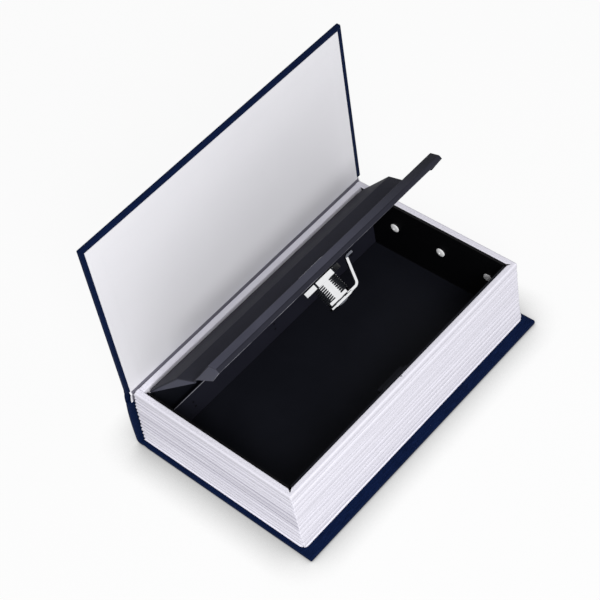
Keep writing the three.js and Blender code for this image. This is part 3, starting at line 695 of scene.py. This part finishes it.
def end_point(side):
    """Places a point of an end strip, whose last tenth draws in to the rounded, serrated back."""
    def place_point(along, depth, height):
        share = (along - BLOCK_FORE) / (BLOCK_BACK - BLOCK_FORE)
        serrated = back_at(height)
        if depth < SERRATED_DEPTH:
            serrated -= SERRATION * max(depth, 0) ** 0.5
        eased_in = max(0, (share - EASE_BACK_FROM) / (1 - EASE_BACK_FROM)) ** 1.5
        drawn_in = (BLOCK_BACK - serrated) * eased_in
        return (side * (BLOCK_END - depth), along - drawn_in, height)
    return place_point


for end, side, nodes in (("tail", -1, ["page_edge_tail"]), ("head", 1, ["page_edge_head"])):
    section = strip_section(5 + side, END_RIB_DEPTH, END_FLARE)
    strip = page_strip(section, BLOCK_FORE, BLOCK_BACK, end_point(side), False, 20 + side)
    piece("pages_" + end, strip, pages, "book", nodes)

rim_corners = [
    back_line[-3], (BACK_RIM_OUTER, BLOCK_TOP), (OPENING_BACK, BLOCK_TOP), (OPENING_BACK, BLOCK_FOOT),
]
rim_back = bend(rim_corners, BACK_RIM_ROUND, 6)
back_end = BLOCK_END - STRIP - 0.05
back_block = drawn_along_x(back_line[:-3] + rim_back, spaced(-back_end, back_end, 9))
piece("pages_back", eased(back_block, 0.12, 1, 60), pages, "book", ["page_block_back"])

# The tray, its rail and the hinge are folded and spot-welded sheet steel, powder coated black after
# welding. The coat is satin with a faint orange peel, and pale grey along the top edge of the rail.
RAIL_TOP = 35
RAIL_FRONT = 54.75
RAIL_WELDS = [(-84, 26), (-83, 20.5), (0, 26), (0, 20.5), (84, 26), (84, 20.5)]
WELD_PIT = 6
TRAY_WALL = 110.4
WALL_SHADE = (0.0012, 0.0012, 0.0016)
HEAD_SHADE = (0.008, 0.0084, 0.012)
WELD_SHADE = (0.002, 0.002, 0.003)
PALE_EDGE_GREY = (0.34, 0.34, 0.38)


def powder_coat(name, base, shine, welds=(), pale_above=None, shade_walls_from=None, shade_to_head=None):
    """Black powder coat; spot welds, a pale edge and ends in painted shade for the pieces that have them."""
    coat = Recipe(bpy.data.materials.new(name))
    place = place_on(coat)
    x, y, z = in_millimetres(place)
    peel = cloud(place, 1500.0, 2.0)
    dust = cloud(place, 35.0, 6.0, 0.62)
    handled = cloud(place, 9.0, 3.0)
    share = dust * 0.7 + handled * 0.5 - 0.15
    colour = mixed(share, base, tuple(value * 1.8 + 0.0008 for value in base))
    height = peel
    # Past this distance from the middle, the tray's end walls are darkened as painted shade.
    if shade_walls_from:
        colour = mixed(rise(off_middle(x), shade_walls_from, shade_walls_from + 0.4), colour, WALL_SHADE)
    # Darkening towards the head is painted shade.
    if shade_to_head:
        colour = mixed(rise(x, *shade_to_head), colour, HEAD_SHADE)
    for weld_x, weld_z in welds:
        across, up = x - weld_x, z - weld_z
        spot = rise(across * across + up * up, 1.3, 0.5)
        colour = mixed(spot, colour, WELD_SHADE)
        height = height - spot * WELD_PIT
    if pale_above:
        at_top = rise(z, pale_above - 0.15, pale_above)
        colour = mixed(at_top * rise(y, RAIL_FRONT + 0.5, RAIL_FRONT + 0.3), colour, PALE_EDGE_GREY)
    return coat.coat({
        "Base Color": colour, "Roughness": 0.48 + dust * 0.16 + handled * 0.1,
        "Specular IOR Level": shine, "Normal": relief(height, 0.00006, 0.5),
    })


def recoat(name, finish):
    """Gives a piece that keeps the mesh of its solid a finish."""
    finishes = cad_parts[name].data.materials
    finishes.clear()
    finishes.append(finish)


black_coat = powder_coat("black_powder_coat", (0.0044, 0.0048, 0.0072), 0.15, shade_walls_from=TRAY_WALL)
rail_coat = powder_coat("black_powder_coat_rail", (0.0095, 0.0098, 0.0155), 0.2, RAIL_WELDS, RAIL_TOP)
for name in ("steel_tray", "catch_bracket", "tray_hinge_leaf", "lid_hinge_leaf"):
    recoat(name, black_coat)
recoat("rear_rail", rail_coat)


# A plain steel wire is the hinge's pin, and runs hidden in its knuckles. A pad of grey card, unseen
# in use, fills the space under the tray.
def bare_metal(name, base, roughness, metal=1.0):
    """Drawn metal, its fine grain along x."""
    finish = Recipe(bpy.data.materials.new(name))
    place = place_on(finish)
    drawn = cloud(stretched(place, (60, 2500, 2500)), 1.0, 4.0)
    spots = cloud(place, 300.0)
    return finish.coat({
        "Base Color": mixed(drawn, tuple(value * 0.8 for value in base), base), "Metallic": metal,
        "Roughness": roughness + spots * 0.1, "Normal": relief(drawn, 0.00002, 0.5),
    })


def card_finish():
    card = Recipe(bpy.data.materials.new("grey_card"))
    pulp = cloud(place_on(card), 500.0, 6.0, 0.7)
    return card.coat({
        "Base Color": mixed(pulp, (0.36, 0.335, 0.285), (0.5, 0.47, 0.405)),
        "Roughness": 0.8 + pulp * 0.15, "Normal": relief(pulp, 0.0001, 0.5),
    })


recoat("hinge_pin", bare_metal("pin_wire", (0.42, 0.42, 0.43), 0.28))
recoat("base_pad", card_finish())

# Blind rivets hold the tray to the page block, three through each end wall. Each is a low
# aluminium dome with the broken end of its mandrel in the middle.
RIVET_STEP = 42
RIVET_MIDDLE = -8.8
RIVET_HEIGHT = 38.6
RIVET_HEAD = 3.6
RIVET_DOME = 1.2
RIVET_SHANK = 2
RIVET_GRIP = 3.4
WALL_END = 111


def around(sides):
    return [2 * math.pi * i / sides for i in range(sides)]


def on_circle(radius, angle):
    return radius * math.cos(angle), radius * math.sin(angle)


def turned(profile, sides):
    """A body of revolution about z through [radius, height] points; a radius of 0 closes it."""
    solid = bmesh.new()
    angles = around(sides)
    rings = []
    for radius, height in profile:
        ring = [(*on_circle(radius, angle), height) for angle in (angles if radius else angles[:1])]
        rings.append([solid.verts.new(Vector(at) * MM) for at in ring])
    for near, far in zip(rings, rings[1:]):
        for i in range(sides):
            j = (i + 1) % sides
            corners = [near[i % len(near)], near[j % len(near)], far[j % len(far)], far[i % len(far)]]
            face = list(dict.fromkeys(corners))
            if len(face) > 2:
                solid.faces.new(face)
    return solid


satin_aluminium = bare_metal("satin_aluminium", (0.97, 0.97, 0.98), 0.35, 0.05)
mandrel = [(0, 0.75), (0.55, 0.8), (0.78, 0.62), (0.95, 0.7)]
dome = [
    (RIVET_HEAD * math.sin(turn), RIVET_DOME * (0.25 + 0.75 * math.cos(turn)))
    for turn in [math.radians(16 + 7.4 * i) for i in range(11)]
]
shank = [(RIVET_HEAD, 0.05), (RIVET_SHANK, 0.03), (RIVET_SHANK, -RIVET_GRIP), (0, -RIVET_GRIP)]
for end, side in (("tail", -1), ("head", 1)):
    for i in range(3):
        across = RIVET_MIDDLE + (i - 1) * RIVET_STEP
        at_wall = Matrix.Translation(Vector((side * WALL_END, across, RIVET_HEIGHT)) * MM)
        inward = at_wall @ Matrix.Rotation(-side * math.pi / 2, 4, "Y")
        name = "rivet_%s_%d" % (end, i + 1)
        rivet = turned(mandrel + dome + shank, 48)
        piece(name + "_head", rivet, satin_aluminium, "book", [name], inward)

# The lid is one steel sheet, folded across: a raised strip at the hinge, a ramp down, a sunk plate
# for the lock, and a flange and hem at the front. Its ends are turned down and cut away on a slant.
# Its flange and ends have a paler coat as painted sheen, darkened towards the head as painted shade,
# and the coat is pale grey in patches along the hem.
LID_LINE = (60.85, 59.2)
LID_OPEN = 47.6
LID_HALF = 110.2
LID_SHEET = 1.2
LID_BEND = 1.5
LID_TOP = 2.2
LID_START = -2.6
LID_STRIP = -51.5
RAMP = 16.5
RAMP_SLOPE = math.radians(24.8)
PLATE = 45.8
PLATE_SLOPE = math.radians(8.6)
FLANGE_OUT = 6.8
FLANGE_DROP = 4.3
HEM = 3
STRIP_INSET = 3
FOOT_INSET = 4.8
PLATE_INSET = 1.8
INSET_RUN = 2.4
IN_SHEET = 0.6
WEB_START = 1.32
WEB_FOOT = 1.8
END_DEPTH = 8.9
NOTCH_START = 12
NOTCH_END = 33
PALE_HEM_BELOW = -6.5
COATED, PALE_HEM, SHEEN_AND_SHADE = range(3)

ramp_foot = Vector((LID_STRIP - RAMP * math.cos(RAMP_SLOPE), LID_TOP - RAMP * math.sin(RAMP_SLOPE)))
plate_front = ramp_foot + Vector((-PLATE * math.cos(PLATE_SLOPE), PLATE * math.sin(PLATE_SLOPE)))
knee = plate_front + Vector((-FLANGE_OUT, -FLANGE_DROP))
hem_foot = knee + Vector((0, -HEM))


def on_plate(distance, depth):
    """A point of the sunk plate, by its distance from the ramp and its depth below the outer face."""
    along = Vector((-math.cos(PLATE_SLOPE), math.sin(PLATE_SLOPE)))
    down = Vector((-math.sin(PLATE_SLOPE), -math.cos(PLATE_SLOPE)))
    return ramp_foot + along * distance + down * depth


def lid_reach(across):
    """Half the lid's length at a place across it; the strip and ramp narrow towards the ramp's foot."""
    insets = (
        (LID_START, 0), (LID_STRIP, STRIP_INSET), (ramp_foot.x, FOOT_INSET),
        (ramp_foot.x - INSET_RUN, PLATE_INSET),
    )
    for (near, near_inset), (far, far_inset) in zip(insets, insets[1:]):
        if far < across <= near:
            share = (near - across) / (near - far)
            return LID_HALF - near_inset - share * (far_inset - near_inset)
    return LID_HALF - (0 if across > LID_START else PLATE_INSET)


def pale_hem_edge():
    """The coat along a hem, pale grey in patches."""
    edge = Recipe(bpy.data.materials.new("pale_hem_edge"))
    place = place_on(edge)
    patches = cloud(stretched(place, (30, 60, 60)), 1.0, 4.0)
    fine = cloud(place, 800.0)
    patchy = rise(patches + fine * 0.15, 0.52, 0.7)
    return edge.coat({
        "Base Color": mixed(patchy, (0.04, 0.04, 0.052), (0.34, 0.34, 0.38)), "Metallic": 0.3,
        "Roughness": 0.38 + fine * 0.15, "Normal": relief(fine, 0.00003, 0.4),
    })


lid_swing = swung(LID_LINE, LID_OPEN)
lid_finishes = [
    powder_coat("black_powder_coat_lid", (0.0165, 0.0168, 0.0235), 0.05),
    pale_hem_edge(),
    # A paler copy of the coat as painted sheen, darkened towards the head as painted shade.
    powder_coat("black_powder_coat_painted_sheen_and_shade", (0.042, 0.043, 0.060), 0.1, shade_to_head=(-10, 130)),
]
folds = [(LID_START, LID_TOP), (LID_STRIP, LID_TOP), ramp_foot, plate_front, knee, hem_foot]
lid_path = bend(folds, LID_BEND, 6)
lid = swept([
    [(share * lid_reach(at.x), at.x, at.y) for at in sheet_outline(lid_path, LID_SHEET)]
    for share in spaced(-1, 1, 0.1)
])
eased(lid, 0.3, 3, 60, PALE_HEM)
for face in lid.faces:
    middle = face.calc_center_median() / MM
    short_of_ends = abs(middle.x) < LID_HALF - PLATE_INSET - 0.5
    at_hem = middle.y < knee.x + 0.6 and middle.z < hem_foot.y + 1 and short_of_ends
    if face.material_index == PALE_HEM and not at_hem:
        face.material_index = COATED
    # The flange takes the paler coat, a painted sheen.
    if face.material_index == COATED and knee.x + 0.6 < middle.y < plate_front.x + 0.4:
        face.material_index = SHEEN_AND_SHADE
piece("lid_sheet", lid, lid_finishes, "lid", ["lid_panel"], lid_swing)

web_outline = [
    (LID_START, LID_TOP - IN_SHEET), (LID_STRIP, LID_TOP - IN_SHEET),
    (ramp_foot.x, ramp_foot.y - IN_SHEET), (ramp_foot.x, ramp_foot.y - WEB_FOOT),
    (LID_START, LID_TOP - WEB_START),
]
end_outline = [
    on_plate(NOTCH_START, IN_SHEET), (plate_front.x, plate_front.y - IN_SHEET),
    (knee.x + IN_SHEET, knee.y), (hem_foot.x + IN_SHEET, hem_foot.y), on_plate(NOTCH_END, END_DEPTH),
]
for end, side in (("tail", -1), ("head", 1)):
    for name, outline in (("hinge_end", web_outline), ("front_end", end_outline)):
        wall = swept([
            [(side * (lid_reach(at[0]) - inward), *at) for at in outline]
            for inward in (LID_SHEET, 0)
        ])
        eased(wall, 0.25, 3, 30, PALE_HEM)
        # Apart from the bevels low on the hem, the end walls take the paler coat of painted sheen.
        for face in wall.faces:
            low = face.calc_center_median().z < PALE_HEM_BELOW * MM
            face.material_index = PALE_HEM if low and face.material_index == PALE_HEM else SHEEN_AND_SHADE
        piece("lid_%s_%s" % (name, end), wall, lid_finishes, "lid", (), lid_swing)

# The cam lock is die-cast and chromed. Its threaded barrel has two flats, goes through the plate from
# outside and is held there by a spacer and a hexagon nut. The spacer and the grooves of the thread are
# dark as painted shade, and the nut's faces towards the head as a painted dark reflection.
LOCK_X = -5.9
LOCK_FROM_RAMP = 30
PLUG = 6
BEZEL = 11.6
BEZEL_HEIGHT = 0.32
BEZEL_BORE = PLUG + 0.3
BARREL = 9.5
BARREL_FLAT = 8.75
BARREL_DEPTH = 27.2
COLLAR = 2.2
COLLAR_INSET = 0.45
THREAD_PITCH = 1.5
THREAD_DEPTH = 0.5
SPACER = 11.6
SPACER_BORE = BARREL + 0.2
SPACER_TOP = -1.3
SPACER_DEPTH = 8.9
NUT_FLATS = 26.5
NUT_DEPTH = 4
CHAMFER = 0.3
FLAT_TURN = math.radians(-20)
NUT_TURN = math.radians(-15)
SHADED = 1


def chrome_finish(name, base, roughness, metal=1.0, shine=0.5):
    """Plated or bare die-cast metal with a faint haze and pits."""
    chrome = Recipe(bpy.data.materials.new(name))
    place = place_on(chrome)
    haze = cloud(place, 420.0, 4.0)
    pits = cloud(place, 2600.0, 2.0)
    return chrome.coat({
        "Base Color": mixed(haze, tuple(value * 0.9 for value in base), base), "Metallic": metal,
        "Roughness": roughness + haze * 0.1, "Specular IOR Level": shine,
        "Normal": relief(pits, 0.00001, 0.4),
    })


def thread_cut(level, angle):
    """How deep the helical thread is cut at a level and an angle."""
    turn = (level / THREAD_PITCH - angle / (2 * math.pi)) % 1
    return THREAD_DEPTH * abs(2 * turn - 1) ** 0.8


def threaded_barrel():
    """The barrel: a helical thread, flattened on two sides, down to a plain collar at its inner end."""
    levels = spaced(-BARREL_DEPTH, -SPACER_DEPTH + 1, THREAD_PITCH / 8)
    rings = []
    for level in levels:
        threaded = min(max((level + BARREL_DEPTH - COLLAR) / 0.3, 0), 1)
        ring = []
        for angle in around(96):
            radius = (BARREL - thread_cut(level, angle)) * threaded
            radius += (BARREL - COLLAR_INSET) * (1 - threaded)
            if level == levels[0]:
                radius -= CHAMFER
            across, out = on_circle(radius, angle)
            out = min(max(out, -BARREL_FLAT), BARREL_FLAT)
            at = Matrix.Rotation(FLAT_TURN, 2) @ Vector((across, out))
            ring.append((*at, level))
        rings.append(ring)
    barrel = swept(rings)
    for face in barrel.faces:
        middle = face.calc_center_median() / MM
        angle = math.atan2(middle.y, middle.x) - FLAT_TURN
        on_flat = abs(math.hypot(middle.x, middle.y) * math.sin(angle)) > BARREL_FLAT - 0.02
        # Faces deep in the grooves take the dark metal as painted shade, more of each groove on one side.
        shaded_from = THREAD_DEPTH * (0.1 if math.cos(angle) > 0.15 else 0.45)
        in_groove = thread_cut(middle.z, angle % (2 * math.pi)) > shaded_from
        if in_groove and not on_flat and middle.z > -BARREL_DEPTH + COLLAR + 0.1:
            face.material_index = SHADED
    return barrel


seat = on_plate(LOCK_FROM_RAMP, 0)
on_seat = Matrix.Translation(Vector((LOCK_X, *seat)) * MM)
lock_place = lid_swing @ on_seat @ Matrix.Rotation(-PLATE_SLOPE, 4, "X")
bright_chrome = chrome_finish("bright_chrome", (0.86, 0.865, 0.88), 0.05)
painted_shade_chrome = chrome_finish("chrome_painted_shade", (0.010, 0.011, 0.014), 0.4, 0.0, 0.15)
dull_zinc = chrome_finish("dull_zinc", (0.17, 0.18, 0.21), 0.2)
lock_finishes = [bright_chrome, painted_shade_chrome]
barrel = threaded_barrel()
piece("lock_barrel_thread", barrel, lock_finishes, "lid", ["lock_barrel"], lock_place, 50)

bezel_profile = [
    (BEZEL_BORE, -2), (BEZEL_BORE, BEZEL_HEIGHT - 0.15), (BEZEL_BORE + 0.15, BEZEL_HEIGHT),
    (BEZEL - 1.1, BEZEL_HEIGHT), (BEZEL - 0.5, BEZEL_HEIGHT - 0.1),
    (BEZEL - 0.15, BEZEL_HEIGHT - 0.3), (BEZEL, 0.15), (BEZEL, 0.05),
    (BARREL, 0.05), (BARREL, -2), (BEZEL_BORE, -2),
]
piece("lock_bezel", turned(bezel_profile, 72), dull_zinc, "lid", (), lock_place, 40)

spacer_profile = [
    (SPACER_BORE, SPACER_TOP), (SPACER - CHAMFER, SPACER_TOP), (SPACER, SPACER_TOP - CHAMFER),
    (SPACER, -SPACER_DEPTH + CHAMFER), (SPACER - CHAMFER, -SPACER_DEPTH),
    (SPACER_BORE, -SPACER_DEPTH), (SPACER_BORE, SPACER_TOP),
]
# The spacer is dark all over, as painted shade.
spacer = turned(spacer_profile, 64)
piece("lock_spacer_ring", spacer, painted_shade_chrome, "lid", ["lock_spacer"], lock_place)


def closed_loop(rings):
    """A ring-shaped solid through loops of points, the last of which meets the first."""
    solid = bmesh.new()
    made = [[solid.verts.new(Vector(at) * MM) for at in ring] for ring in rings]
    for near, far in zip(made, made[1:] + made[:1]):
        for i in range(len(near)):
            j = (i + 1) % len(near)
            solid.faces.new((near[i], near[j], far[j], far[i]))
    return solid


def hexagon_nut(bore, top, foot):
    """The nut, with six loops of points: out from the bore at its foot, up, and in to it at the top."""
    loops = [[], [], [], [], [], []]
    for angle in around(120):
        edge = NUT_FLATS / 2 / math.cos(angle % (math.pi / 3) - math.pi / 6)
        stages = (
            (bore, foot), (edge - CHAMFER, foot), (edge, foot + CHAMFER),
            (edge, top - CHAMFER), (edge - CHAMFER, top), (bore, top),
        )
        for loop, (radius, height) in zip(loops, stages):
            loop.append((*on_circle(radius, angle + NUT_TURN), height))
    return closed_loop(loops)


nut_top = -SPACER_DEPTH - 0.05
nut = hexagon_nut(BARREL + 0.05, nut_top, nut_top - NUT_DEPTH)
for face in nut.faces:
    middle = face.calc_center_median() / MM
    turn = math.degrees(math.atan2(middle.y, middle.x)) % 360
    from_corner = abs((turn - math.degrees(NUT_TURN) + 30) % 60 - 30)
    on_corner = from_corner < 3.2 and math.hypot(middle.x, middle.y) > 13
    # The nut's faces towards the head are a painted dark reflection, its corners painted shade.
    if 290 < turn or turn < 60 or on_corner:
        face.material_index = SHADED
piece("lock_hexagon_nut", nut, lock_finishes, "lid", ["lock_nut"], lock_place, 20)

# The keyed plug turns in the barrel and ends in a square shank. The cam is a cranked steel strip
# with a round hub on that shank, held by a washer and a domed screw. Its foot turns in under the
# catch.
CAM_REST = 22
CAM_SHEET = 2
CAM_WIDTH = 11
CAM_BEND = 2.6
CAM_ARM = 13.9
CAM_RISE = 17.9
CAM_SLANT = 7.1
CAM_REACH = 26.66
CAM_HUB = 10.8
HUB_DEPTH = 1.7
NECK = 0.7
NECK_RADIUS = BARREL - 1.4
SHANK = 6
PLUG_FACE = 0.14
PLUG_EASE = 0.12
KEYWAY = (0.8, 3.2)
KEYWAY_FLOOR = -3
WASHER = 5.8
WASHER_SHEET = 0.45
SCREW_HEAD = 4.8
SCREW_DOME = 1.3
CAM_SHADE = 1


def keyed_plug():
    """The plug from its inner end to its face, then in to the keyway and down into it."""
    angles = around(64)
    outside = (
        (PLUG, -BARREL_DEPTH - 0.02), (PLUG, PLUG_FACE - PLUG_EASE), (PLUG - PLUG_EASE, PLUG_FACE),
    )
    rings = [[(*on_circle(radius, angle), level) for angle in angles] for radius, level in outside]
    slot = []
    for angle in angles:
        across, out = (max(abs(share), 1e-6) for share in on_circle(1, angle))
        slot.append(on_circle(min(KEYWAY[0] / across, KEYWAY[1] / out), angle))
    rings += [[(*at, level) for at in slot] for level in (PLUG_FACE, KEYWAY_FLOOR)]
    return swept(rings)


cam_place = lock_place @ Matrix.Rotation(-math.radians(CAM_REST), 4, "Z")
piece("lock_plug", keyed_plug(), bright_chrome, "cam", ["key_plug"], cam_place, 40)

cam_top = -BARREL_DEPTH - 0.05
foot_level = cam_top + CAM_RISE
cam_corners = [(0, cam_top), (CAM_ARM, cam_top), (CAM_ARM + CAM_SLANT, foot_level), (CAM_REACH, foot_level)]
cam_path = bend(cam_corners, CAM_BEND, 8)
half = CAM_WIDTH / 2
cam_strip = swept([
    [(over.x, -half, over.y), (over.x, half, over.y), (under.x, half, under.y), (under.x, -half, under.y)]
    for over, under in zip(cam_path, beside(cam_path, -CAM_SHEET))
])
eased(cam_strip, 0.35, 3, 50)
# The broad faces and the whole foot take the darker metal as painted shade; the narrow edges stay bright.
for face in cam_strip.faces:
    middle = face.calc_center_median() / MM
    at_foot = middle.z > foot_level - CAM_SHEET - 0.6
    if abs(face.normal.y) < 0.8 or (at_foot and abs(face.normal.y) > 0.95):
        face.material_index = CAM_SHADE
piece("cam_strip", cam_strip, [bright_chrome, dull_zinc], "cam", ["cam"], cam_place)

hub_top = cam_top - NECK
hub_foot = hub_top - HUB_DEPTH
neck_foot = hub_top - 0.1
# The neck in the gap under the hub is dark, as painted shade.
neck = turned([(0, neck_foot), (NECK_RADIUS, neck_foot), (NECK_RADIUS, cam_top), (0, cam_top)], 56)
piece("cam_neck", neck, painted_shade_chrome, "cam", (), cam_place)
hub_profile = [
    (0, hub_foot), (CAM_HUB - CHAMFER, hub_foot), (CAM_HUB, hub_foot + CHAMFER),
    (CAM_HUB, hub_top - CHAMFER), (CAM_HUB - CHAMFER, hub_top), (0, hub_top),
]
piece("cam_hub", turned(hub_profile, 64), bright_chrome, "cam", (), cam_place)

washer_foot = hub_foot - WASHER_SHEET
washer_profile = [
    (0, washer_foot), (WASHER - 0.2, washer_foot), (WASHER, washer_foot + 0.15), (WASHER, hub_foot),
]
washer = turned(washer_profile, 56)
piece("cam_washer_plate", washer, dull_zinc, "cam", ["cam_washer"], cam_place)
screw_dome = [
    (SCREW_HEAD * math.sin(turn), washer_foot - 0.1 - SCREW_DOME * math.cos(turn))
    for turn in [math.radians(9 * i) for i in range(11)]
]
screw = turned(screw_dome + [(0, washer_foot)], 56)
piece("cam_screw_head", screw, dull_zinc, "cam", ["cam_screw"], cam_place, 40)

square = [(-SHANK / 2, -SHANK / 2), (SHANK / 2, -SHANK / 2), (SHANK / 2, SHANK / 2), (-SHANK / 2, SHANK / 2)]
square_shank = swept([[(*at, level) for at in square] for level in (cam_top - CAM_SHEET + 0.05, cam_top)])
eased(square_shank, 0.25, 2, 50)
piece("plug_shank", square_shank, bright_chrome, "cam", (), cam_place)
